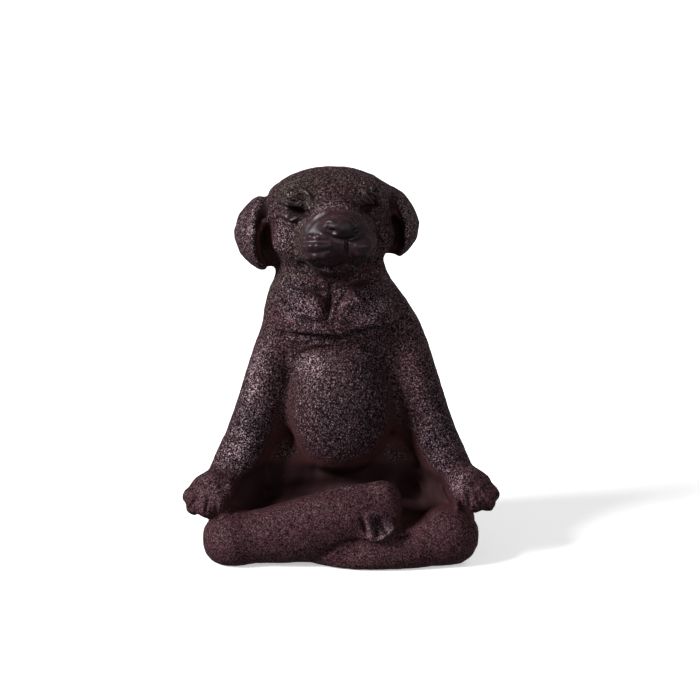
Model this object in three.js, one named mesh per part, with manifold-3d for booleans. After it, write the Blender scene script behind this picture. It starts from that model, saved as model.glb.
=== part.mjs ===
// A cast-iron figurine of a puppy that sits cross-legged, with its eyes closed and its forepaws resting
// palm up on its knees. It is one casting on its own flat underside, so it is one solid.
// Millimetres, +Z up, -Y is the dog's front, and +X is its own left. The origin is on the ground, in the
// middle of the footprint.
import * as THREE from "three";
import { mergeVertices } from "three/addons/utils/BufferGeometryUtils.js";
import Module from "manifold-3d";

// Driving dimensions
const HEIGHT = 160; // ground to crown
const HEAD_TURN = 5; // degrees, towards the dog's own left
const HEAD_LEAN = 3; // degrees, the crown leans to the dog's own right
const HEAD_LIFT = 2; // degrees, nose up

// The figure is laid out on a sculptor's grid of 158 parts from the ground to the crown. Every place and size
// below is in these parts, and the clay masses turn them into millimetres.
const GRID = 158;
const PART = HEIGHT / GRID;
const GROUND = 1.2; // the rounding of the legs is ground flat at this level
const CROWN = GROUND + GRID;

const wasm = await Module();
wasm.setup();

// Joining and cutting

function solidOf(geometry) {
  geometry.deleteAttribute("normal");
  geometry.deleteAttribute("uv");
  const closed = mergeVertices(geometry, 1e-4);
  return new wasm.Manifold(
    new wasm.Mesh({
      numProp: 3,
      vertProperties: closed.getAttribute("position").array,
      triVerts: new Uint32Array(closed.index.array),
    }),
  );
}

function join(geometries) {
  return geometries.map(solidOf).reduce((whole, piece) => whole.add(piece));
}

function cut(whole, geometries) {
  return geometries.map(solidOf).reduce((left, piece) => left.subtract(piece), whole);
}

function geometryOf(solid) {
  const mesh = solid.getMesh();
  const geometry = new THREE.BufferGeometry();
  geometry.setAttribute("position", new THREE.BufferAttribute(mesh.vertProperties, 3));
  geometry.setIndex(new THREE.BufferAttribute(mesh.triVerts, 1));
  geometry.computeVertexNormals();
  return geometry;
}

// Clay masses

const inParts = (x, y, z) => new THREE.Vector3(x, y, z).multiplyScalar(PART);
const radians = THREE.MathUtils.degToRad;
const both = (make) => [-1, 1].map(make);

// An oval mass. Its half sizes run along x, y and z before it is turned, in degrees about x, y and z.
function ball([x, y, z], [halfX, halfY, halfZ], { turn = [0, 0, 0], sides = 16, rings = 10 } = {}) {
  const [aboutX, aboutY, aboutZ] = turn.map(radians);
  return new THREE.SphereGeometry(1, sides, rings)
    .rotateX(Math.PI / 2)
    .scale(halfX, halfY, halfZ)
    .applyMatrix4(new THREE.Matrix4().makeRotationFromEuler(new THREE.Euler(aboutX, aboutY, aboutZ)))
    .translate(x, y, z)
    .scale(PART, PART, PART);
}

// An oval section carried along a smooth spine and closed round at both ends. A station is [x, y, z, half
// width, half depth]; the width runs across, and the first and last stations are the tips. A blunt of 1
// gives egg-shaped ends, and less gives fuller ones.
function limb(stations, { across = [1, 0, 0], sides = 16, rings = 14, blunt = 0.6 } = {}) {
  const spine = new THREE.CatmullRomCurve3(stations.map(([x, y, z]) => inParts(x, y, z)));
  const sizes = new THREE.CatmullRomCurve3(stations.map(([, , , width, depth]) => inParts(width, depth, 0)));
  const skin = new THREE.SphereGeometry(1, sides, rings);
  const point = skin.getAttribute("position");
  for (let i = 0; i < point.count; i++) {
    const down = THREE.MathUtils.clamp(point.getY(i), -1, 1);
    const along = (1 - down) / 2;
    const rim = Math.sqrt(1 - down * down);
    const roundAngle = Math.atan2(point.getZ(i), point.getX(i));
    const forward = spine.getTangent(along);
    const side = new THREE.Vector3(...across);
    side.addScaledVector(forward, -side.dot(forward)).normalize();
    const depth = new THREE.Vector3().crossVectors(forward, side);
    const half = sizes.getPoint(along).multiplyScalar(rim ** blunt);
    const place = spine
      .getPoint(along)
      .addScaledVector(side, half.x * Math.cos(roundAngle))
      .addScaledVector(depth, half.y * Math.sin(roundAngle));
    point.setXYZ(i, place.x, place.y, place.z);
  }
  return skin;
}

// Seat: pelvis, haunches, thighs, crossed shins, the hind paws and a short tail

function pelvis() {
  return [
    ball([0, 16, 20], [41, 26.5, 26], { sides: 18, rings: 10 }),
    ball([0, -9, 11], [45, 25, 14.5], { sides: 18, rings: 8 }),
  ];
}

function haunches() {
  return both((s) => ball([s * 22, 11, 29], [17, 20, 22.5], { turn: [0, s * -14, 0], sides: 12, rings: 8 }));
}

function thighs() {
  return both((s) =>
    limb(
      [
        [s * 20, 33, 15, 13, 12],
        [s * 34, 19, 15.5, 16, 15.5],
        [s * 41, 2, 14, 15, 14.5],
        [s * 43.5, -14, 12.5, 13.5, 13.5],
        [s * 43.5, -34, 11.5, 12, 12],
      ],
      { across: [0, 0, 1], sides: 12, rings: 8, blunt: 0.6 },
    ),
  );
}

function knees() {
  return both((s) => ball([s * 43 - 0.3, -25, 11 + s * 0.6], [13.8, 13.8, 12.8], { sides: 16, rings: 9 }));
}

// The dog's right shin lies over its left one, so the two are not mirror images.
function shins() {
  const over = limb(
    [
      [-50, -25, 12, 10, 10],
      [-38, -27, 12, 12.5, 12],
      [-22, -28, 14, 13.5, 12],
      [-6, -29, 18, 14, 11.5],
      [7, -28.5, 22.5, 13.5, 11],
      [16, -27, 25.5, 10.5, 9.5],
      [23, -24, 27, 7, 7],
    ],
    { across: [0, 0, 1], sides: 14, rings: 12 },
  );
  const under = limb(
    [
      [50, -25, 12, 10, 10],
      [40, -27, 11, 12, 12],
      [27, -29.5, 8, 10, 11],
      [11, -31, 6, 8, 10],
      [-3, -30.5, 4, 6, 8.5],
      [-12, -29, 3, 4, 6],
    ],
    { across: [0, 0, 1], sides: 14, rings: 11 },
  );
  return [over, under];
}

function hindPaw() {
  const ankle = ball([16.5, -28, 26], [9, 8.5, 10.5], { sides: 12, rings: 8 });
  const sole = ball([14.4, -34, 20.5], [7.2, 6.6, 7], { turn: [-20, 0, 0], sides: 12, rings: 7 });
  const toes = [-5.5, -1.8, 2, 5.6].map((across, i) =>
    ball([14.4 + across, -38.5 + Math.abs(across) * 0.3, 15.4 + i * 0.4], [2.5, 3.4, 3.2], {
      turn: [35, 0, across * 3],
      sides: 8,
      rings: 5,
    }),
  );
  return [ankle, sole, ...toes];
}

function tail() {
  return limb(
    [
      [-4, 36, 20, 6, 6],
      [5, 41, 12.5, 6, 6],
      [17, 41, 8.4, 5.8, 5.6],
      [30, 36, 7.4, 5.2, 5.2],
      [41, 27, 6.6, 4.4, 4.4],
      [49, 17, 5.8, 2.8, 2.8],
    ],
    { across: [0, 0, 1], sides: 8, rings: 7 },
  );
}

// Trunk: back and flanks, the round belly, the chest that overhangs it, and the neck

function trunk() {
  return limb(
    [
      [0, 15, 6, 22, 18],
      [0, 15, 26, 26, 24],
      [0, 14, 42, 27, 22],
      [0, 13, 58, 29, 21.5],
      [-0.2, 11.5, 74, 31, 21.5],
      [-1.2, 10, 88, 31.6, 21],
      [-2.8, 8.5, 98, 31.4, 20],
      [-3.8, 7, 107, 28.8, 19],
      [-3.8, 6, 114, 26, 18.5],
      [-3.6, 5.5, 121, 26, 18],
      [-4, 5, 138, 18, 16],
    ],
    { sides: 20, rings: 17, blunt: 0.4 },
  );
}

function belly() {
  return ball([-0.4, -3, 60.5], [22, 20, 28.5], { turn: [-6, 0, 0], sides: 18, rings: 12 });
}

function chest() {
  return limb(
    [
      [0, -3, 88.5, 20, 12],
      [-0.5, -2.5, 92, 25, 13.5],
      [-1, -1, 99, 25, 13.5],
      [-2, 0, 107, 21, 12],
      [-3, 0, 115, 16, 10],
    ],
    { sides: 16, rings: 7, blunt: 0.35 },
  );
}

// Fur collar: a heavy lock down each side of the neck, and the two meet in a point over the chest
function collar() {
  const right = [
    [-24, 1, 112, 3, 3],
    [-19.5, -6.8, 109, 5.5, 3.4],
    [-12.5, -11.8, 104.5, 6.5, 3.4],
    [-6.5, -14.4, 98.5, 3, 2.4],
  ];
  const left = [
    [19, 1, 113, 3, 3],
    [14, -6.8, 110.5, 5, 3.4],
    [7, -11.8, 107.5, 5.5, 3.4],
    [1, -14.4, 103, 3, 2.4],
  ];
  return [right, left].map((lock) => limb(lock, { across: [0, 0, 1], sides: 9, rings: 8 }));
}

// Forelegs: each comes down from the shoulder and rests its upturned paw on the knee

function forelegs() {
  return both((s) =>
    limb(
      [
        [s * 18, 8, 105, 10, 12],
        [s * 23.3, 8, 94, 10.4, 13.5],
        [s * 28, 7, 79, 10.4, 14.5],
        [s * 32.5, 4, 63, 10.6, 13.5],
        [s * 37.5, -2, 48, 11, 12],
        [s * 44.8, -10, 37, 10.8, 10],
        [s * 52, -17, 29, 9.6, 7],
      ],
      { across: [1, 0, 0], sides: 13, rings: 11, blunt: 0.5 },
    ),
  );
}

// The narrow space between each foreleg and the belly is closed by a web that lies a little behind them both.
function webs() {
  return both((s) =>
    limb(
      [
        [s * 21, 3, 92, 8, 6],
        [s * 23.5, 2.5, 80, 8, 7],
        [s * 25, 2, 64, 8, 7.5],
        [s * 27, 0.5, 52, 8, 7],
        [s * 29, -1, 44, 5, 5],
      ],
      { sides: 8, rings: 6 },
    ),
  );
}

// Each wrist lies on its knee over its whole length, so the space below it is filled.
function wristRests() {
  return both((s) =>
    limb(
      [
        [s * 34, 1, 38, 7, 7],
        [s * 39, -4, 31, 9.5, 8.5],
        [s * 43, -10, 26.5, 10, 8],
        [s * 46, -17, 23, 8.5, 6.5],
        [s * 47.5, -22, 21.5, 5, 4],
      ],
      { sides: 8, rings: 4, blunt: 0.5 },
    ),
  );
}

// A paw is built flat, palm up and toes to -Y, and then tipped and turned on to the knee.
const PALM = { half: [10.8, 10.4, 6], tip: 33 };
const PAWS = [
  { side: -1, splay: 28, at: [53, -19.6, 29.2] },
  { side: 1, splay: 34, at: [52.4, -19.6, 31.2] },
];
const TOES = [
  { angle: -56, reach: 8.4 },
  { angle: -20, reach: 9.6 },
  { angle: 14, reach: 9.8 },
  { angle: 47, reach: 8.8 },
];

function forepaws() {
  return PAWS.flatMap(({ side, splay, at: [x, y, z] }) => {
    const palm = ball([0, 0, 0], PALM.half, { sides: 12, rings: 6 });
    const heelPad = ball([0, 2.2, 3.6], [5.4, 4.4, 3.4], { sides: 9, rings: 5 });
    const toes = TOES.map(({ angle, reach }) => {
      const around = radians(angle);
      return ball([reach * Math.sin(around), -reach * Math.cos(around), 0.2], [3.9, 4.7, 4.2], {
        turn: [0, 0, angle],
        sides: 8,
        rings: 5,
      });
    });
    const knee = new THREE.Matrix4()
      .makeRotationZ(radians(side * splay))
      .multiply(new THREE.Matrix4().makeRotationX(radians(PALM.tip)))
      .setPosition(inParts(side * x, y, z));
    return [palm, heelPad, ...toes].map((mass) => mass.applyMatrix4(knee));
  });
}

// Head: built about the middle of the skull, facing -Y, and then turned and set on the neck

const SKULL_TOP = 23.4;
const SKULL_MIDDLE = [-4, 6, CROWN - SKULL_TOP];

function headMasses() {
  const cranium = ball([-0.7, 1, 6.8], [27.6, 23.4, 16.6], { sides: 20, rings: 11 });
  const cheeks = ball([0, -1, -5], [26.4, 20.2, 15.5], { sides: 20, rings: 9 });
  const muzzle = ball([0, -20, -3], [16.6, 18.5, 11.8], { sides: 18, rings: 10 });
  const flews = both((s) => ball([s * 6.8, -25, -6.4], [9.6, 13.2, 7.6], { sides: 12, rings: 7 }));
  const bridge = limb(
    [
      [0, -14, 9, 9, 6],
      [0, -22, 6.4, 10, 6],
      [0, -29, 2.6, 10, 6],
      [0, -36, -0.4, 8, 6],
    ],
    { sides: 12, rings: 7, blunt: 0.5 },
  );
  const chin = ball([0, -18, -14.5], [11.5, 12, 5.4], { sides: 12, rings: 6 });
  const nose = ball([0, -35.8, 1.6], [7, 4.4, 4.8], { turn: [-14, 0, 0], sides: 14, rings: 8 });
  const brows = both((s) =>
    ball([s * 13.5, -13.6, 14.4], [7.4, 4.6, 4.2], { turn: [0, s * 24, s * -28], sides: 10, rings: 6 }),
  );
  const eyelids = both((s) =>
    ball([s * 16, -16.6, 8.6], [5.8, 4, 3.4], { turn: [0, s * 14, s * -34], sides: 10, rings: 6 }),
  );
  return [cranium, cheeks, muzzle, ...flews, bridge, chin, nose, ...brows, ...eyelids];
}

// Each ear folds over at the top of the skull and hangs beside the cheek, with its front edge turned in and its
// back edge filled in to the skull, which leaves a hollow between the ear and the cheek. The dog's right ear
// stands out further, hangs lower and is seen more from its face.
const EARS = [
  { side: -1, spread: 1, drop: 1.1, thick: 1 },
  { side: 1, spread: 0.94, drop: 0.96, thick: 0.68 },
];

function ears() {
  return EARS.flatMap(({ side, spread, drop, thick }) => [
    ball([side * 26 * spread, 5, -3.5], [8, 7, 12.5 * drop], { sides: 10, rings: 6 }),
    limb(
      [
        [side * 17, 6, 12, 6, 4],
        [side * 25, 5, 10.5, 9.5, 4],
        [side * 32 * spread, 4, 4.5, 12, 4 * thick],
        [side * 35 * spread, 2.5, -3 * drop, 12, 3.8 * thick],
        [side * 33 * spread, 0.5, -10 * drop, 9.5, 3.4 * thick],
        [side * 27.5 * spread, -1, -16 * drop, 6, 2.8],
      ],
      { across: [side * -0.4, -1, 0], sides: 12, rings: 11, blunt: 0.5 },
    ),
  ]);
}

function headCuts() {
  const nostrils = both((s) => ball([s * 3.7, -39.7, 1], [1.7, 2, 1.4], { sides: 8, rings: 6 }));
  const mouth = limb(
    [
      [-18, -18, -9.5, 0.8, 2],
      [-13, -30, -12.4, 0.9, 4],
      [-6, -36, -12.6, 0.9, 4],
      [0, -37.5, -10.4, 0.9, 4],
      [6, -36, -12.6, 0.9, 4],
      [13, -30, -12.4, 0.9, 4],
      [18, -18, -9.5, 0.8, 2],
    ],
    { across: [0, 0, 1], sides: 6, rings: 14, blunt: 0.5 },
  );
  const lip = limb(
    [
      [0, -40.5, -1, 0.7, 1.6],
      [0, -39.5, -5, 0.7, 2],
      [0, -38, -11, 0.8, 2],
    ],
    { sides: 6, rings: 5 },
  );
  const lashLines = both((s) =>
    limb(
      [
        [s * 10.6, -23, 6.4, 0.6, 1.6],
        [s * 15, -22.4, 5.4, 0.7, 1.8],
        [s * 20.4, -18, 7.4, 0.6, 1.6],
      ],
      { across: [0, 0, 1], sides: 6, rings: 7 },
    ),
  );
  return [...nostrils, mouth, lip, ...lashLines];
}

const HEAD_FRAME = new THREE.Matrix4()
  .makeRotationFromEuler(
    new THREE.Euler(radians(-HEAD_LIFT), radians(-HEAD_LEAN), radians(HEAD_TURN), "ZYX"),
  )
  .setPosition(inParts(...SKULL_MIDDLE));

const onNeck = (masses) => masses.map((mass) => mass.applyMatrix4(HEAD_FRAME));

// The whole casting

function casting() {
  const body = join([
    ...pelvis(),
    ...haunches(),
    ...thighs(),
    ...knees(),
    ...shins(),
    ...hindPaw(),
    tail(),
    trunk(),
    belly(),
    chest(),
    ...collar(),
    ...forelegs(),
    ...webs(),
    ...wristRests(),
    ...forepaws(),
    ...onNeck(headMasses()),
    ...onNeck(ears()),
  ]);
  const below = new THREE.BoxGeometry(2 * GRID, 2 * GRID, GRID).translate(0, 0, GROUND - GRID / 2);
  return cut(body, [...onNeck(headCuts()), below.scale(PART, PART, PART)]);
}

const figure = geometryOf(casting()).translate(0, 0, -GROUND * PART);
figure.computeBoundingBox();
const middle = figure.boundingBox.getCenter(new THREE.Vector3());
figure.translate(-middle.x, -middle.y, 0);

const rustBrownIron = new THREE.MeshStandardMaterial({ color: 0x4a3133, roughness: 0.62, metalness: 0.35 });
const dog = new THREE.Mesh(figure, rustBrownIron);
dog.name = "meditating_dog";

const group = new THREE.Group();
group.add(dog);

export default group;
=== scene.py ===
"""A cast-iron figurine of a puppy sitting cross-legged: the finish of its one casting, on a pale stage."""

import math

import bmesh
import bpy
import numpy as np
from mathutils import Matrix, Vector, noise
from mathutils.bvhtree import BVHTree


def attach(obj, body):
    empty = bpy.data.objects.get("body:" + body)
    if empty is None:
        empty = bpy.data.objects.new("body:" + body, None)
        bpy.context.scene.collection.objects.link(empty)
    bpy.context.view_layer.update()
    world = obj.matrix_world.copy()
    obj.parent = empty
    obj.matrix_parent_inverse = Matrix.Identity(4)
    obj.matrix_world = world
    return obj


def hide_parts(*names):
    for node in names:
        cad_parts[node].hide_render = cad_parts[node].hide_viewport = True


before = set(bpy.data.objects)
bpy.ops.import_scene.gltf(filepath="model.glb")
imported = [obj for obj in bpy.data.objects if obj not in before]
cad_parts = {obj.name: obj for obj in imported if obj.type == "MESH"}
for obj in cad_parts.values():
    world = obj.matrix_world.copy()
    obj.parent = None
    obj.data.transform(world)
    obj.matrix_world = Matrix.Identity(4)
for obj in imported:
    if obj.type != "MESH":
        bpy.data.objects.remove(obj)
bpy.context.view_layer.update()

# The stage: a white floor that runs into a white room, a broad soft lamp high on the viewer's left, a weak
# one on the right, and one behind that lights the back and leaves no gloss. The camera looks a little down
# on the figure, straight at its front, as the photograph does.
MM = 0.001
CAMERA_HEIGHT_ANGLE = math.radians(12)
CAMERA_DISTANCE = 650 * MM
CAMERA_AIM = Vector((3.8 * MM, 0, 83.0 * MM))
PIXELS_PER_MM = 2.375
IMAGE_WIDTH = 700

camera_back = Vector((0, -math.cos(CAMERA_HEIGHT_ANGLE), math.sin(CAMERA_HEIGHT_ANGLE)))
camera_up = Vector((0, math.sin(CAMERA_HEIGHT_ANGLE), math.cos(CAMERA_HEIGHT_ANGLE)))
camera = bpy.data.objects.new("camera", bpy.data.cameras.new("camera"))
camera.data.lens = camera.data.sensor_width * PIXELS_PER_MM / MM * CAMERA_DISTANCE / IMAGE_WIDTH
camera.data.clip_start = 10 * MM
camera.location = CAMERA_AIM + camera_back * CAMERA_DISTANCE
camera.rotation_euler = camera_back.to_track_quat("Z", "Y").to_euler()
bpy.context.scene.collection.objects.link(camera)
bpy.context.scene.camera = camera
bpy.context.scene.view_settings.view_transform = "Standard"

FLOOR_SIZE = 3
FLOOR_GLOW = 0.45
floor_mesh = bmesh.new()
bmesh.ops.create_grid(floor_mesh, x_segments=1, y_segments=1, size=FLOOR_SIZE)
floor = bpy.data.objects.new("floor", bpy.data.meshes.new("floor"))
floor_mesh.to_mesh(floor.data)
floor_mesh.free()
pale_floor = bpy.data.materials.new("pale_floor")
pale_floor.use_nodes = True
pale_shader = pale_floor.node_tree.nodes["Principled BSDF"]
pale_shader.inputs["Base Color"].default_value = (0.95, 0.95, 0.95, 1)
pale_shader.inputs["Roughness"].default_value = 0.9
pale_shader.inputs["Specular IOR Level"].default_value = 0.1
pale_shader.inputs["Emission Color"].default_value = (1, 1, 1, 1)
pale_shader.inputs["Emission Strength"].default_value = FLOOR_GLOW
floor.data.materials.append(pale_floor)
bpy.context.scene.collection.objects.link(floor)
floor.visible_diffuse = False
floor.visible_glossy = False

LAMPS = {
    "window_light": ((-0.84, -0.36, 0.54), 5.2, 20),
    "fill_light": ((0.55, -0.82, 0.15), 0.9, 60),
    "back_light": ((0.45, 0.88, 0.25), 1.8, 50),
}
for name, (towards, strength, spread) in LAMPS.items():
    lamp = bpy.data.objects.new(name, bpy.data.lights.new(name, "SUN"))
    lamp.data.energy = strength
    lamp.data.angle = math.radians(spread)
    lamp.rotation_euler = Vector(towards).to_track_quat("Z", "Y").to_euler()
    lamp.visible_glossy = name != "back_light"
    bpy.context.scene.collection.objects.link(lamp)

# The white room is bright to look at, and lights the figure only a little, as a cut-out's ground does.
ROOM_WHITE = 1.1
ROOM_LIGHT = 0.18
world = bpy.data.worlds.new("studio")
world.use_nodes = True
room = world.node_tree.nodes
room["Background"].inputs["Color"].default_value = (1, 1, 1, 1)
looked_at = room.new("ShaderNodeLightPath")
room_strength = room.new("ShaderNodeMapRange")
room_strength.inputs["To Min"].default_value = ROOM_LIGHT
room_strength.inputs["To Max"].default_value = ROOM_WHITE
world.node_tree.links.new(looked_at.outputs["Is Camera Ray"], room_strength.inputs["Value"])
world.node_tree.links.new(room_strength.outputs["Result"], room["Background"].inputs["Strength"])
bpy.context.scene.world = world

# The casting: one sand-cast shell of grey iron, poured in one piece. The joined masses of the solid are
# drawn over with an even skin of fine faces, and their edges are filed round as a pattern maker would.
SKIN_VOXEL = 1.15 * MM
BROAD_ROUNDS = 50
CREASE_ROUNDS = 13
EAR_ROUNDS = 12
COLLAR_ROUNDS = 13
PAW_ROUNDS = 9
MUZZLE_ROUNDS = 7
FINE_ROUNDS = 2
CREASE_LOOK = 12
CREASE_DEPTHS = (0.25, 0.7)
CREASE_BLUR = 5
HEAD_MIDDLE = -4

dog = bpy.data.objects.new("dog_casting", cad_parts["meditating_dog"].data.copy())
bpy.context.scene.collection.objects.link(dog)
clay = bmesh.new()
clay.from_mesh(dog.data)
bmesh.ops.remove_doubles(clay, verts=clay.verts, dist=0.001 * MM)
clay.to_mesh(dog.data)
clay.free()
dog.data.materials.clear()
skin = dog.modifiers.new("skin", "REMESH")
skin.mode = "VOXEL"
skin.voxel_size = SKIN_VOXEL
dog.data = bpy.data.meshes.new_from_object(dog.evaluated_get(bpy.context.evaluated_depsgraph_get()))
dog.modifiers.clear()
dog.data.name = "dog_casting"


def vectors_of(items, name):
    values = np.empty(len(items) * 3, np.float32)
    items.foreach_get(name, values)
    return values.reshape(-1, 3).astype(float)


def edges_of(mesh):
    ends = np.empty(len(mesh.edges) * 2, np.int32)
    mesh.edges.foreach_get("vertices", ends)
    return ends.reshape(-1, 2)


def neighbour_mean(values, edges):
    first, second = edges.T
    total = np.empty_like(values)
    for axis in range(values.shape[1]):
        total[:, axis] = np.bincount(first, values[second, axis], len(values))
        total[:, axis] += np.bincount(second, values[first, axis], len(values))
    return total / np.bincount(edges.ravel(), minlength=len(values))[:, None]


def evened(values, edges, rounds):
    for _ in range(rounds):
        values = 0.5 * (values + neighbour_mean(values, edges))
    return values


def rounded(places, edges, rounds):
    """Files edges round without thinning the form: what the filing took away broadly is put back."""
    filed = evened(places, edges, rounds)
    return filed + evened(places - filed, edges, 2 * rounds)


def sunken(places, normals, edges, rounds):
    """How far each vertex lies below the skin around it, in millimetres."""
    return np.einsum("ij,ij->i", evened(places, edges, rounds) - places, normals) / MM


def ease(values, low, high):
    part = np.clip((values - low) / (high - low), 0, 1)
    return part * part * (3 - 2 * part)


def set_places(mesh, places):
    mesh.vertices.foreach_set("co", places.astype(np.float32).ravel())
    mesh.update()


def near(places, middle, half, border):
    """1 in an upright oval about a point, in millimetres, falling to 0 over the border's share."""
    reach = np.linalg.norm((places / MM - middle) / half, axis=1)
    return 1 - ease(reach, 1, 1 + border)


places = vectors_of(dog.data.vertices, "co")
edges = edges_of(dog.data)
crease = sunken(places, vectors_of(dog.data.vertices, "normal"), edges, CREASE_LOOK)
in_crease = evened(ease(crease, *CREASE_DEPTHS)[:, None], edges, CREASE_BLUR)[:, 0]
paws = sum(near(places, (side * 52, -27, 27), (17, 18, 15), 0.3) for side in (-1, 1))
hind_paw = near(places, (16, -40, 20), (11, 11, 15), 0.3)
muzzle = near(places, (-2, -33, 134), (20, 14, 15), 0.2)
collar = near(places, (-5, -14, 106), (24, 11, 9), 0.3)
ears = sum(near(places, (side * 35 + HEAD_MIDDLE, 2, 132), (12, 16, 21), 0.3) for side in (-1, 1))
filed = rounded(places, edges, BROAD_ROUNDS)
for share, rounds in (
    (in_crease * 1.6, CREASE_ROUNDS),
    (ears, EAR_ROUNDS),
    (collar, COLLAR_ROUNDS),
    (paws + hind_paw, PAW_ROUNDS),
    (muzzle, MUZZLE_ROUNDS),
):
    share = np.clip(share, 0, 1)[:, None]
    filed = filed * (1 - share) + rounded(places, edges, rounds) * share
places = filed
set_places(dog.data, places)

# The carved places get faces of half the size.
FINE_ZONES = {
    "face": ((-3, -26, 139), (28, 24, 22)),
    "collar": ((-5, -16, 105), (19, 10, 9)),
    "hind paw": ((16, -40, 20), (12, 13, 15)),
    "left forepaw": ((-53, -29, 26), (15, 15, 12)),
    "right forepaw": ((53, -29, 26), (15, 15, 12)),
    "left ear": ((-38, -8, 132), (11, 9, 20)),
    "right ear": ((30, -8, 132), (11, 9, 20)),
}
clay = bmesh.new()
clay.from_mesh(dog.data)
fine = sum(near(places, middle, half, 0.01) for middle, half in FINE_ZONES.values()) > 0.5
clay.verts.ensure_lookup_table()
finer = [edge for edge in clay.edges if fine[edge.verts[0].index] and fine[edge.verts[1].index]]
bmesh.ops.subdivide_edges(clay, edges=finer, cuts=1, use_grid_fill=True)
clay.to_mesh(dog.data)
clay.free()
edges = edges_of(dog.data)
set_places(dog.data, rounded(vectors_of(dog.data.vertices, "co"), edges, FINE_ROUNDS))

# Carving is laid out on a drawing of the front as the photograph shows it, in millimetres right of and
# above the camera's aim. A cut reaches only the skin that can be seen from there.
RAY_CLEARANCE = 0.4 * MM
UNCARVED_SLANT = 0.2
CARVED_SLANT = 0.75


def mesh_points(places):
    return [Vector(place) for place in places]


def ray_target(mesh):
    """The skin as a surface that rays can hit."""
    corners = mesh_points(vectors_of(mesh.vertices, "co"))
    return BVHTree.FromPolygons(corners, [face.vertices[:] for face in mesh.polygons])


def front_drawing(mesh):
    """Where each vertex lies on the drawing, and how much of a cut it takes, from 0 to 1."""
    places = vectors_of(mesh.vertices, "co")
    normals = vectors_of(mesh.vertices, "normal")
    away = places - CAMERA_AIM
    scale = CAMERA_DISTANCE / (CAMERA_DISTANCE - away @ camera_back) / MM
    at = np.column_stack((away[:, 0] * scale, (away @ camera_up) * scale))
    facing = ease(normals @ camera_back, UNCARVED_SLANT, CARVED_SLANT)
    solid = ray_target(mesh)
    seen = np.zeros(len(places))
    for i in np.flatnonzero(facing > 0):
        start = Vector(places[i] + normals[i] * RAY_CLEARANCE)
        seen[i] = solid.ray_cast(start, camera.location - start)[0] is None
    return at, facing * evened(seen[:, None], edges_of(mesh), 2)[:, 0]


def smooth_line(points, pieces=6):
    """A smooth line through points, as a Catmull-Rom spline."""
    points = np.array(points, float)
    ends = np.vstack((2 * points[0] - points[1], points, 2 * points[-1] - points[-2]))
    line = []
    for before, start, stop, after in zip(ends, ends[1:], ends[2:], ends[3:]):
        for t in np.arange(pieces) / pieces:
            line.append(
                start
                + 0.5 * t * (stop - before)
                + t * t * (before - 2.5 * start + 2 * stop - 0.5 * after)
                + t**3 * (1.5 * (start - stop) + 0.5 * (after - before))
            )
    return np.array(line + [points[-1]])


def along_line(drawing, points, reach):
    """Vertices near a line: which they are, how far off (right is negative), and the share of the way."""
    at, shown = drawing
    line = smooth_line(points)
    step = line[1:] - line[:-1]
    close_by = ((at > line.min(0) - reach) & (at < line.max(0) + reach)).all(1) & (shown > 0)
    index = np.flatnonzero(close_by)
    away = at[index, None] - line[None, :-1]
    part = np.clip((away * step).sum(2) / (step * step).sum(1), 0, 1)
    gap = away - part[..., None] * step
    nearest = np.linalg.norm(gap, axis=2).argmin(1)
    row = np.arange(len(index))
    gap = gap[row, nearest]
    side = np.where(step[nearest, 0] * gap[:, 1] < step[nearest, 1] * gap[:, 0], -1, 1)
    return index, side * np.linalg.norm(gap, axis=1), (nearest + part[row, nearest]) / len(step)


def ridge(relief, drawing, points, half_width, height):
    """A rounded ridge that runs out at both ends; a negative height is a groove."""
    index, off, along = along_line(drawing, points, half_width)
    across = np.clip(1 - (off / half_width) ** 2, 0, 1) ** 2
    ends = np.sqrt(np.sin(math.pi * np.clip(along, 0, 1)))
    relief[index] += height * across * ends * drawing[1][index]


def lip(relief, drawing, points, reach, height, sharp=0.7):
    """A step: the skin left of the line stands up at once and sinks back over the reach."""
    index, off, along = along_line(drawing, points, reach)
    raised = ease(off, -0.3 * sharp, sharp) * np.clip(1 - off / reach, 0, 1) ** 2
    ends = np.sqrt(np.sin(math.pi * np.clip(along, 0, 1)))
    relief[index] += height * raised * ends * drawing[1][index]


def mound(relief, drawing, middle, half, height, turn=0, fullness=2):
    """An oval swelling, turned in degrees to the left; a negative height is a hollow."""
    at, shown = drawing
    cosine, sine = math.cos(math.radians(turn)), math.sin(math.radians(turn))
    away = at - middle
    across = away[:, 0] * cosine + away[:, 1] * sine
    up = away[:, 1] * cosine - away[:, 0] * sine
    inside = np.clip(1 - (across / half[0]) ** 2 - (up / half[1]) ** 2, 0, 1)
    relief += height * inside**fullness * shown


def cut(relief, drawing, shape, forms):
    """Cuts named forms of one shape, each with what the shape asks for after the drawing."""
    for form in forms.values():
        shape(relief, drawing, *form)


def carve(mesh, relief):
    places = vectors_of(mesh.vertices, "co")
    normals = vectors_of(mesh.vertices, "normal")
    set_places(mesh, places + normals * relief[:, None] * MM)


front = front_drawing(dog.data)
relief = np.zeros(len(dog.data.vertices))

# Skin seen at a slant takes less of a cut, or its profile would be ragged; the glancing drawing lets it
# take more.
glancing = (front[0], np.sqrt(front[1]))

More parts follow.
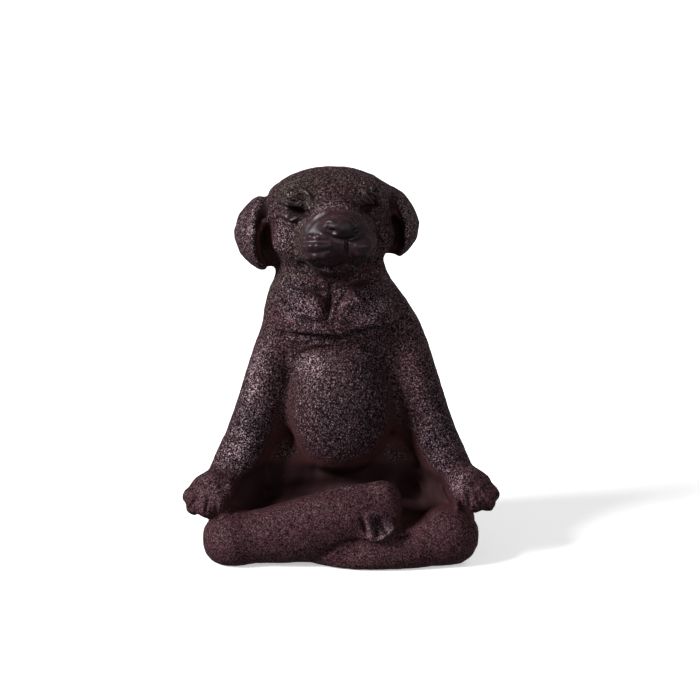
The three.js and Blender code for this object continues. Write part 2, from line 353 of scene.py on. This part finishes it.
# Face: closed eyes under heavy brows, a blunt muzzle with folds of lip, and a wide nose. In all names, left
# and right are the viewer's.
LID_HALF_WIDTH = 1.5
LID_HEIGHT = 2.1
left_lids = (
    [(-31, 60.5), (-29.2, 63.2), (-26.6, 61.4), (-23.2, 60.6), (-20, 61)],
    [(-33, 56), (-29, 57.3), (-26.3, 56.4), (-24.2, 55.2), (-21, 56.2), (-18.4, 58.2)],
    [(-21, 67.8), (-18.3, 66), (-16.8, 64), (-16.6, 60.6)],
)
right_lids = (
    [(6.2, 67.6), (6.8, 65.4), (8.6, 63.2), (9.9, 60.6)],
    [(5.1, 56.8), (9.5, 55.6), (13.5, 56.8), (16.4, 59.2)],
)
for drawing, lids in ((glancing, left_lids), (front, right_lids)):
    for line in lids:
        ridge(relief, drawing, line, LID_HALF_WIDTH, LID_HEIGHT)
eye_mounds = {
    "left socket": ((-23.5, 61), (9, 6), -1.2, -12),
    "left eyeball": ((-25, 64.8), (5.4, 3.8), 1.8, -20),
    "left brow": ((-26.5, 69.4), (6.5, 2.8), 1.2, 20),
    "right socket": ((9.5, 62.5), (7.5, 6.5), -1.2, 10),
    "right socket's outer end": ((12.4, 63.2), (3, 5.6), -2.8),
    "right socket's lower end": ((8, 59.4), (5, 2.2), -2.8),
    "right brow": ((11.5, 68.4), (2.6, 1.4), 0.5, -20),
}
cut(relief, front, mound, eye_mounds)
cut(relief, glancing, mound, {"left socket's lower end": ((-22, 58.2), (6.4, 2.6), -3.6, -12)})
cut(relief, front, ridge, {"right temple": ([(16.2, 68.6), (17.9, 65.3), (18.8, 61.3)], 1.4, 1.2)})

muzzle_rim = [
    (11, 35.8),
    (13.3, 40.4),
    (12.2, 46.3),
    (9.3, 52.2),
    (5.3, 57.1),
    (0.4, 60.2),
    (-5.5, 61.5),
    (-11.8, 60.2),
    (-17.7, 56.4),
    (-21.9, 51),
    (-23.2, 45),
    (-22.7, 39.6),
]
MUZZLE_MIDDLE = np.array((-5, 47))
INNER_SHARES = np.array((0.8, 0.78))
inner_rim = MUZZLE_MIDDLE + INNER_SHARES * (np.array(muzzle_rim[2:-2]) - MUZZLE_MIDDLE)
mouth_line = [(-21.9, 37.4), (-18.5, 35.4), (-12.6, 34.3), (-6.3, 34.1), (-1.5, 36.8)]
lip(relief, front, muzzle_rim, 6.5, 1.3, sharp=0.8)
muzzle_lines = {
    "rim's groove": (muzzle_rim, 2.4, -2),
    "rim's welt": ([(across, up + 0.2) for across, up in muzzle_rim[3:-1]], 1.2, 1),
    "inner fold": (inner_rim, 1.3, -0.6),
    "edge of the left nostril": ([(-11, 53.7), (-8.4, 54), (-5.9, 53.5)], 1, 0.9),
    "nose's underside": ([(-10.5, 49.5), (-6.3, 46.9), (-2, 46.3), (2.5, 47.3), (6, 49.8)], 1.3, -1),
    "left nostril's wing": ([(-7, 49.9), (-10.2, 51.4)], 1, -1.2),
    "right nostril's wing": ([(2.3, 50.1), (5, 51.8)], 1, -1.2),
    "parting of the lips": ([(-1.3, 47.6), (-1.3, 43), (-1.3, 37.5)], 0.9, -1.4),
    "left of the parting": ([(-2.7, 47), (-2.7, 43), (-2.7, 38)], 0.9, 0.6),
    "right of the parting": ([(0.1, 47), (0.1, 43), (0.1, 38)], 0.9, 0.6),
    "upper fold of the left pad": ([(-20.6, 45.5), (-15, 45.6), (-8.6, 46)], 0.9, -0.9),
    "lower fold of the left pad": ([(-19.4, 41.1), (-14.3, 41.1), (-8, 42)], 0.9, -0.9),
    "left of the mouth": (mouth_line, 1.4, -1.9),
    "right of the mouth": ([(-1.5, 36.8), (2.5, 34.5), (6.7, 34.1), (10.3, 35.5), (13.1, 39)], 1.4, -2.1),
}
muzzle_mounds = {
    "left pad": ((-14.7, 43), (7.6, 7.2), 1.1),
    "right pad": ((5.5, 43.4), (6.8, 7.4), 1.1),
    "nose": ((-2.3, 51), (7.4, 4.4), 0.9, 0, 0.8),
    "left nostril": ((-7, 49.9), (1.8, 1.3), -2.2, 0, 1),
    "right nostril": ((2.3, 50.1), (1.8, 1.3), -2.2, 0, 1),
    "right corner of the mouth": ((11.6, 36.2), (1.9, 1.6), -1.2),
    "chin": ((-6.3, 31), (9, 2.8), 0.9),
}
cut(relief, front, ridge, muzzle_lines)
cut(relief, front, mound, muzzle_mounds)

WHISKER_DOT = (1.8, 1.3)
WHISKER_ROWS = (
    ((-20, 47.4), (-13, 47.8), 3, 0.8),
    ((-19.4, 43.4), (-9.8, 43.9), 4, 0.8),
    ((-17.3, 38.9), (-11.5, 39.2), 3, 0.8),
    ((2.8, 43.8), (10.6, 43.6), 4, 0.5),
    ((3.6, 40.2), (9.4, 40.2), 3, 0.5),
)
for start, stop, count, height in WHISKER_ROWS:
    ridge(relief, front, [start, stop], 1.5, 0.2)
    for dot in np.linspace(start, stop, count):
        mound(relief, front, dot, WHISKER_DOT, height, fullness=1.5)

# Ears: each stands off the cheek behind a deep hollow, with a firm front edge
ear_hollows = (
    [(-34.4, 69.5), (-36, 63), (-37.2, 56.8), (-37.3, 46.3), (-36.4, 35.5)],
    [(16, 70), (18.2, 65), (19.4, 58), (20.2, 50), (20.6, 41.8)],
)
ear_edges = (
    [(-38.1, 35.8), (-39.8, 43), (-40.2, 52), (-39.2, 60), (-36.6, 67)],
    [(20.2, 68.2), (21.8, 62), (22.7, 54.7), (23, 47), (22.9, 42)],
)
for hollow, edge in zip(ear_hollows, ear_edges):
    ridge(relief, glancing, hollow, 2.6, -4.2)
    lip(relief, glancing, edge, 3.6, 1.6, sharp=0.6)
cut(relief, front, mound, {"left ear's dish": ((-44.5, 50), (4.2, 15), -1)})

# Neck and chest: heavy locks of ruff that part over the breastbone, above the edge of the chest
flap_top = [(-27.4, 29.3), (-22.7, 27.4), (-16.8, 25.7), (-10, 24)]
flap_edge = [(-28, 22.4), (-23.6, 18.3), (-18.1, 14.7), (-11.8, 11.6)]
below_flap = [(across - 0.8, up - 1.6) for across, up in flap_edge]
flap_notch = [(-8.4, 28.8), (-8.2, 22.7), (-9.3, 17.3), (-11.4, 12.2)]
second_notch = [(2.2, 26.2), (5.6, 22), (9, 17.5)]
bib = [
    (-31, 7.6),
    (-22.7, 6.3),
    (-14.7, 5.5),
    (-7.6, 5.1),
    (-2.1, 5.5),
    (3.4, 7.2),
    (10.5, 8.8),
    (19.7, 10),
]
chest_lines = {
    "flap's outer fold": ([(-29.5, 30.5), (-28.4, 25.7), (-26.7, 21.9)], 1.9, 1.5),
    "flap's top": (flap_top, 1.6, -2.4),
    "fold above the flap": ([(-24, 30.3), (-17, 28.4), (-11, 26.9)], 1.2, 0.7),
    "below the flap": (below_flap, 1.8, -2.4),
    "flap's notch": (flap_notch, 2, -1.8),
    "middle lock": ([(-3.2, 25.4), (-5.5, 20.6), (-7.2, 16), (-8, 9)], 1.5, 1),
    "right lock's edge": ([(0.5, 25.6), (3.2, 21.7), (6.3, 17.3)], 1.1, 1.2),
    "right lock's notch": (second_notch, 1.5, -1.5),
    "bib's edge": (bib, 1.5, -3),
    "left breast": ([(-26.6, -8.6), (-24, -2.5), (-20.2, 0.8), (-14.7, 2.3), (-6.4, 2.7)], 1.2, 0.8),
    "right breast": ([(18, -6.1), (15.6, -0.8), (11.8, 2.1), (4.3, 3.4)], 1.2, 0.6),
    "left breast's crease": ([(-23.3, -3.5), (-18.5, -1.5), (-13.3, -2.7)], 1, -0.7),
}
chest_lips = {"flap": (flap_edge, 7, 2.8, 0.8), "bib": (bib, 5, 1.5, 0.8)}
chest_mounds = {
    "right lock": ((13, 20), (7, 6), 0.9, 30),
    "breastbone": ((-3.6, 12.6), (4, 6.5), 0.9),
}
cut(relief, front, ridge, chest_lines)
cut(relief, front, lip, chest_lips)
cut(relief, front, mound, chest_mounds)

# Forepaws: palm up, with the toes parted by short grooves
paw_mounds = {
    "left palm": ((-53.5, -57.3), (3.4, 2.4), -1.5),
    "left pad": ((-53.9, -62.7), (3.2, 2.6), 0.8),
    "right palm": ((45.1, -54.7), (2.4, 2), -1.3),
    "right palm's outer end": ((52.6, -56.4), (4, 2), -1.1),
}
paw_lines = {
    "left outer groove": ([(-63.4, -59.6), (-66.1, -63.6), (-67.9, -67.5)], 1, -1.3),
    "left middle groove": ([(-59.6, -60.9), (-60.2, -64.8), (-60.8, -69.2)], 1, -1.3),
    "left inner groove": ([(-56.4, -62.2), (-56.4, -65.7), (-56.4, -69.6)], 0.9, -1.1),
    "left palm's edge": ([(-58.6, -61.2), (-54.7, -58.9), (-50.9, -60), (-49.5, -64.6)], 1, 0.8),
    "right wrist": ([(33.9, -48.5), (38.3, -57.7), (42.6, -66.3)], 1.4, 1),
    "right inner toe": ([(46.4, -57.1), (48.8, -63.2), (49.9, -67.9)], 1, 0.8),
    "right middle toe": ([(50.6, -60.9), (51.9, -68.4)], 1, 0.7),
    "right outer toe": ([(53, -56.7), (56.8, -61.5), (60.8, -65.4)], 1.1, 0.9),
    "right inner groove": ([(44, -57.9), (45.9, -63.2), (47.4, -67.9)], 1.1, -1.4),
    "right middle groove": ([(50, -58.8), (50.4, -62), (50.8, -66.8)], 0.8, -0.9),
    "right outer groove": ([(53.4, -61.3), (55.8, -67.1)], 1, -1.1),
}
cut(relief, front, mound, paw_mounds)
cut(relief, front, ridge, paw_lines)

# Lap: a hollow between the belly, the forelegs and the crossed shins
lap_hollows = {
    "before the belly": ((-16, -58.4), (26, 5.2), -2.4, 3),
    "beside the right foreleg": ((28, -58), (11, 9), -3),
}
cut(relief, front, mound, lap_hollows)

# Hind legs: one paw turned sole up over the other shin, its toes hanging down round a deep hollow
sole_rim = [(6.3, -76.9), (10.5, -79.8), (15.8, -77.2), (19, -72.6), (18.4, -67.8)]
hanging_toe = [(6.8, -69.6), (8.6, -74.6), (9.8, -79)]
hind_lines = {
    "sole's rim": (sole_rim, 1.8, 1.9),
    "hanging toe": (hanging_toe, 1.7, 2.4),
    "right of the toe": ([(9.6, -71), (11, -75.4), (11.8, -79)], 0.9, -1.4),
    "left of the toe": ([(4.6, -70), (6, -74.6), (7, -78.6)], 1, -1.6),
    "second toe": ([(14.4, -73.4), (15, -76), (15.4, -79.2)], 0.9, -1.3),
    "heel": ([(4, -66.4), (9.6, -64.6), (15.6, -65.8)], 1.6, 0.8),
    "under the upper shin": ([(-19, -90.3), (-8.4, -84.6), (-2.1, -81.5), (5.4, -80)], 1.6, -1.4),
    "under the hind paw": ([(2.4, -80.8), (10.9, -80.8), (18.9, -78.9), (31.5, -75)], 1.5, -1),
}
cut(relief, front, mound, {"hollow sole": ((13.2, -72.6), (6, 5.4), -3.4)})
cut(relief, front, ridge, hind_lines)

# Back and sides, which the drawing doesn't show: the ears part from the skull, and a furrow follows the
# spine
EAR_ROOT = ((30, -4, 142), (29, 3, 149), (28, 12, 148), (27, 18, 140))
spine = [(-2, 27, 112), (-1, 31, 92), (0, 34, 70), (0, 37, 50), (-1, 42, 34)]
body = (vectors_of(dog.data.vertices, "co") / MM, np.ones(len(relief)))
for side in (-1, 1):
    root = [(side * across + HEAD_MIDDLE, deep, up) for across, deep, up in EAR_ROOT]
    ridge(relief, body, root, 3.5, -1.8)
ridge(relief, body, spine, 6, -1.4)

carve(dog.data, relief)
set_places(dog.data, evened(vectors_of(dog.data.vertices, "co"), edges, 1))

# Sand marks: the mould leaves the skin a little uneven
UNEVEN_SPACING = 3 * MM
UNEVEN_HEIGHT = 0.2
skin_places = mesh_points(vectors_of(dog.data.vertices, "co"))
unevenness = np.array([noise.noise(place / UNEVEN_SPACING) for place in skin_places])
carve(dog.data, UNEVEN_HEIGHT * unevenness)
dog.data.shade_smooth()

# Finish: dark red-brown rust under thin black paint. The sand grain shows where hands and weather reach,
# and its tips are rubbed grey; the paint is whole and smooth in the hollows and on the muzzle. Each coat's
# share is stored on the skin, from the open sky over it and from ovals and lines of the drawing. Some coats
# also paint light: painted shade in the lap, the ear hollows, the eye sockets and the grooves, and painted
# highlights along edges and on the side lit from the left.
SKY_RAYS = 22
SKY_REACH = 45 * MM
SKY_EVERY = 3
LOWEST_LIFT = 0.15
PROUD_LOOK = 6
COAT_BLUR = 4


def open_share(mesh):
    """The share of the sky over each vertex that no other part of the figure hides."""
    places = vectors_of(mesh.vertices, "co")
    normals = vectors_of(mesh.vertices, "normal")
    solid = ray_target(mesh)
    count = np.arange(SKY_RAYS) + 0.5
    height = 1 - 2 * count / SKY_RAYS
    turn = count * math.pi * (1 + math.sqrt(5))
    rim = np.sqrt(1 - height * height)
    rays = np.column_stack((rim * np.cos(turn), rim * np.sin(turn), height))
    sky = np.zeros((len(places), 2))
    for i in range(0, len(places), SKY_EVERY):
        start = Vector(places[i] + normals[i] * RAY_CLEARANCE)
        for ray, lift in zip(rays, rays @ normals[i]):
            if lift > LOWEST_LIFT:
                clear = solid.ray_cast(start, Vector(ray), SKY_REACH)[0] is None
                sky[i] += lift * clear, lift
    sky = evened(sky, edges_of(mesh), 2 * SKY_EVERY)
    return sky[:, 0] / np.maximum(sky[:, 1], 1e-9)


def store(mesh, name, values):
    mesh.attributes.new(name, "FLOAT", "POINT").data.foreach_set("value", values.astype(np.float32))


PAINTED_OVALS = {
    # Rubbed wear, and painted highlights on the left cheek, left ear, left breast and left foreleg and on
    # the right ear's edge.
    "wear_and_highlight": {
        "left cheek": ((-28.8, 49), (7, 10)),
        "left ear": ((-45, 50), (5, 14)),
        "right ear's edge": ((24.5, 53), (4, 12)),
        "flap": ((-18, 17.5), (10, 6)),
        "right lock": ((8, 16), (12, 8)),
        "left breast": ((-17, -6), (9, 7)),
        "left upper foreleg": ((-41, -10), (7, 20)),
        "left lower foreleg": ((-46, -42), (7, 12)),
        "left forepaw": ((-57, -62), (8, 6)),
        "right forepaw": ((46, -58), (10, 8)),
    },
    # Soot: blue-black on the forelegs and black on the nose. The eye sockets, the throat under the chin,
    # the right of the breast and belly, and the hollow sole are painted shade; the middle of the belly is
    # darkened too.
    "soot_and_shade": {
        "left eye": ((-22.5, 59), (9, 6)),
        "right eye": ((10.5, 61.5), (8, 7)),
        "nose": ((-1.5, 49.6), (7.6, 4)),
        "under the throat": ((-6, 25), (26, 5)),
        "under the right breast": ((8, -8), (9, 14)),
        "middle of the belly": ((-8, -30), (9, 16)),
        "right of the belly": ((9, -24), (11, 26)),
        "left foreleg": ((-42, -38), (10, 22)),
        "right foreleg": ((38, -32), (10, 26)),
        "hollow sole": ((13.5, -73), (7, 6.5)),
    },
    "ruddy": {
        "throat": ((0, 30), (22, 6)),
        "collar": ((-5, 14), (30, 16)),
        "left shoulder": ((-30, 8), (10, 14)),
        "right breast": ((26, 0), (8, 20)),
    },
}
MUZZLE_GLAZE = ((-5.2, 46.9), (18.6, 13.6), 2.6)
SHIN_RECESS_AND_SHADE = ((27, -67), (13, 10), 0.6)
LAP_SHADE_MIDDLES = ((-24, -14, 26), (0, -14, 26), (24, -14, 26))

sky = open_share(dog.data)
places = vectors_of(dog.data.vertices, "co")
proud = -sunken(places, vectors_of(dog.data.vertices, "normal"), edges, PROUD_LOOK)
paint = {name: np.zeros(len(places)) for name in ("glazed", "wear_and_highlight", "soot_and_shade", "ruddy", "recess_and_shade")}
for name, ovals in PAINTED_OVALS.items():
    for middle, half in ovals.values():
        mound(paint[name], front, middle, half, 1, fullness=1)
mound(paint["glazed"], front, *MUZZLE_GLAZE, fullness=1)
for line in (*left_lids, *right_lids):
    ridge(paint["glazed"], glancing, line, 3, 0.8)
# Painted shade: dark lines in the ear hollows, along the bib's edge, the ruff's folds and notches, and the
# mouth.
for line in (*ear_hollows, bib, flap_top, below_flap, flap_notch, second_notch, mouth_line):
    ridge(paint["soot_and_shade"], front, line, 3, 1.6)
# Painted shade in the hollows behind the ears: they lose their grain and are darkened.
for line in ear_hollows:
    ridge(paint["recess_and_shade"], front, line, 2.6, 1.2)
    ridge(paint["soot_and_shade"], front, line, 5, 1.4)
# Rubbed wear and painted highlights along the ears' front edges.
for line in ear_edges:
    ridge(paint["wear_and_highlight"], front, line, 2, 1.2)
# Rubbed wear and painted highlights along the flap's edge, the hanging toe, the sole's rim and the muzzle's
# rim.
for line in (flap_edge, hanging_toe, sole_rim, muzzle_rim[3:]):
    ridge(paint["wear_and_highlight"], front, line, 2, 1.6)
# Painted shade beside the crossed shin, kept smooth as in a recess.
mound(paint["recess_and_shade"], front, *SHIN_RECESS_AND_SHADE, fullness=1)
# Painted shade: the lap between the belly, the forelegs and the shins is darkened and kept smooth.
lap_shade = np.clip(sum(near(places, middle, (20, 15, 9), 0.5) for middle in LAP_SHADE_MIDDLES), 0, 1)
paint["recess_and_shade"] += 0.8 * lap_shade
paint["soot_and_shade"] += lap_shade
store(dog.data, "open_sky", sky)
store(dog.data, "proud", evened(proud[:, None], edges, 1)[:, 0])
for name, coat in paint.items():
    store(dog.data, name, evened(np.clip(coat, 0, 1)[:, None], edges, COAT_BLUR)[:, 0])


class Wire:
    """The output of a shader node, with its sums written as sums."""

    def __init__(self, tree, socket):
        self.tree = tree
        self.socket = socket

    def node(self, kind, settings, inputs, output=0):
        made = self.tree.nodes.new(kind)
        for name, value in settings.items():
            setattr(made, name, value)
        for name, value in inputs.items():
            if isinstance(value, Wire):
                self.tree.links.new(value.socket, made.inputs[name])
            else:
                made.inputs[name].default_value = value
        return Wire(self.tree, made.outputs[output])

    def maths(self, operation, *values):
        return self.node("ShaderNodeMath", {"operation": operation}, dict(enumerate(values)))

    def __add__(self, other):
        return self.maths("ADD", self, other)

    def __sub__(self, other):
        return self.maths("SUBTRACT", self, other)

    def __mul__(self, other):
        return self.maths("MULTIPLY", self, other)

    __radd__ = __add__
    __rmul__ = __mul__

    def __rsub__(self, other):
        return self.maths("SUBTRACT", other, self)

    def absolute(self):
        return self.maths("ABSOLUTE", self)

    def between(self, low, high):
        """0 below the low value and 1 above the high one, with a soft step between."""
        limits = {"From Min": low, "From Max": high, "Value": self}
        return self.node("ShaderNodeMapRange", {"interpolation_type": "SMOOTHSTEP"}, limits)

    def tint(self, under, over):
        """The colour under it where it is 0 and the colour over it where it is 1."""
        return self.node("ShaderNodeMix", {"data_type": "RGBA"}, {0: self, 6: under, 7: over}, output=2)


RECESS_BROWN = (0.054, 0.017, 0.018, 1)
RUST_BROWN = (0.056, 0.019, 0.024, 1)
PAINT_BLACK = (0.004, 0.001, 0.002, 1)
RUBBED_GREY_AND_GLINT = (0.40, 0.27, 0.31, 1)
MUZZLE_BROWN = (0.018, 0.006, 0.010, 1)
OLIVE_BROWN_AND_SHEEN = (0.046, 0.030, 0.018, 1)
SEAT_RED = (0.060, 0.014, 0.021, 1)
CHEST_RED = (0.088, 0.025, 0.036, 1)
BLUE_BLACK = (0.022, 0.014, 0.026, 1)
TIP_SIZE = 0.6 * MM
SAND_SIZE = 0.75 * MM
CHANNEL_SPACING = 1.0 * MM
RUB_SIZE = 1.6 * MM
GLAZE_EDGE_SIZE = 2.5 * MM
PATCH_SIZE = 9 * MM
STAIN_SIZE = 26 * MM
SEAT_REACH = (28 * MM, 44 * MM)
SEAT_EDGE = 30 * MM
OLIVE_REACH = (80 * MM, 125 * MM)
GRAIN_HEIGHT = 0.3 * MM

iron = bpy.data.materials.new("rust_brown_iron")
iron.use_nodes = True
iron_tree = iron.node_tree
iron_shader = iron_tree.nodes["Principled BSDF"]
place = Wire(iron_tree, iron_tree.nodes.new("ShaderNodeTexCoord").outputs["Object"])


def speckle(grain_size, detail=2, coarse=0.55, twist=0):
    inputs = {
        "Vector": place,
        "Scale": 1 / grain_size,
        "Detail": detail,
        "Roughness": coarse,
        "Distortion": twist,
    }
    return place.node("ShaderNodeTexNoise", {}, inputs)


def painted(name):
    return place.node("ShaderNodeAttribute", {"attribute_name": name}, {}, output="Fac")


patches = speckle(PATCH_SIZE, 3, 0.6)
stains = speckle(STAIN_SIZE, 2)
muzzle_glaze = (painted("glazed") + (speckle(GLAZE_EDGE_SIZE, 2) - 0.5) * 0.7).between(0.15, 0.75)
rubbed_glaze = muzzle_glaze * speckle(RUB_SIZE, 2).between(0.52, 0.68)
# Wear and painted highlights, broken into patches.
wear_and_highlight = painted("wear_and_highlight") * patches.between(0.3, 0.55)
soot_and_shade = painted("soot_and_shade") * (0.5 + 0.5 * patches.between(0.35, 0.6))
weathered = (painted("open_sky") * (1 - painted("recess_and_shade"))).between(0.35, 0.75) * (1 - muzzle_glaze)
rubbed = painted("proud").between(-0.02, 0.12)
sand = speckle(SAND_SIZE, 2, 0.6)
channels = 1 - (speckle(CHANNEL_SPACING, 1, 0.5, twist=0.5) - 0.5).absolute().between(0.02, 0.12)

up = place.node("ShaderNodeSeparateXYZ", {}, {"Vector": place}, output="Z")
seat = 1 - (up + (stains - 0.5) * SEAT_EDGE).between(*SEAT_REACH)
rust = weathered.tint(RECESS_BROWN, RUST_BROWN)
# Olive-brown patches on the upper parts; on the crown they also paint the pale room's reflection.
rust = (stains.between(0.5, 0.66) * up.between(*OLIVE_REACH)).tint(rust, OLIVE_BROWN_AND_SHEEN)
ruddy = painted("ruddy") * (0.4 + 0.6 * patches.between(0.35, 0.6))
rust = (ruddy * weathered).tint(rust, CHEST_RED)
rust = (seat * weathered).tint(rust, SEAT_RED)
# Blue-black where the soot coat lies: real soot on the forelegs, painted shade at the eyes, throat, right
# of the belly and sole.
rust = (soot_and_shade * 0.7).tint(rust, BLUE_BLACK)
rust = muzzle_glaze.tint(rust, MUZZLE_BROWN)
rust = (rubbed_glaze * 0.5).tint(rust, RUST_BROWN)
# Black on the muzzle where the soot coat lies: the nose's paint, and painted shade in the mouth's grooves.
rust = (muzzle_glaze * painted("soot_and_shade") * 0.8).tint(rust, PAINT_BLACK)
# Grey grain tips: rubbed grain, and also painted glints of the grain.
grey_tips_and_glints = (speckle(TIP_SIZE, 1) + 0.1 * wear_and_highlight).between(0.5, 0.68) * weathered
grey_tips_and_glints = grey_tips_and_glints * (0.42 + 0.45 * rubbed + wear_and_highlight) * (1 - 0.7 * seat)
colour = (grey_tips_and_glints * 0.75).tint(rust, RUBBED_GREY_AND_GLINT)
height = sand * (0.1 + 0.9 * weathered) - channels * weathered * 0.5
bump = place.node("ShaderNodeBump", {}, {"Strength": 1.0, "Distance": GRAIN_HEIGHT, "Height": height})
roughness = 0.52 - 0.1 * muzzle_glaze + 0.1 * seat
iron_shader.inputs["Specular IOR Level"].default_value = 0.35
for name, value in {"Base Color": colour, "Roughness": roughness, "Normal": bump}.items():
    iron_tree.links.new(value.socket, iron_shader.inputs[name])

# The pits between the grains hold soot-black paint, which has no gloss.
soot = iron_tree.nodes.new("ShaderNodeBsdfPrincipled")
soot.inputs["Roughness"].default_value = 0.9
soot.inputs["Specular IOR Level"].default_value = 0.1
pits = (1 - sand.between(0.38, 0.52)) * 0.6 + channels * (0.85 + 0.15 * soot_and_shade)
hidden = (1 - weathered) * (1 - muzzle_glaze)
pitted = pits * weathered * (1 - 0.25 * seat) + 0.8 * hidden
# In the hollows the matte coat is recess brown, turned black where the soot-and-shade coat paints shade.
hollow_colour_and_shade = (painted("soot_and_shade") * 0.75).tint(RECESS_BROWN, PAINT_BLACK)
iron_tree.links.new(hidden.tint(PAINT_BLACK, hollow_colour_and_shade).socket, soot.inputs["Base Color"])
skin_mix = iron_tree.nodes.new("ShaderNodeMixShader")
iron_tree.links.new(pitted.between(0, 1).socket, skin_mix.inputs[0])
iron_tree.links.new(iron_shader.outputs[0], skin_mix.inputs[1])
iron_tree.links.new(soot.outputs[0], skin_mix.inputs[2])
iron_tree.links.new(skin_mix.outputs[0], iron_tree.nodes["Material Output"].inputs["Surface"])
dog.data.materials.append(iron)

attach(dog, "root")
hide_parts("meditating_dog")
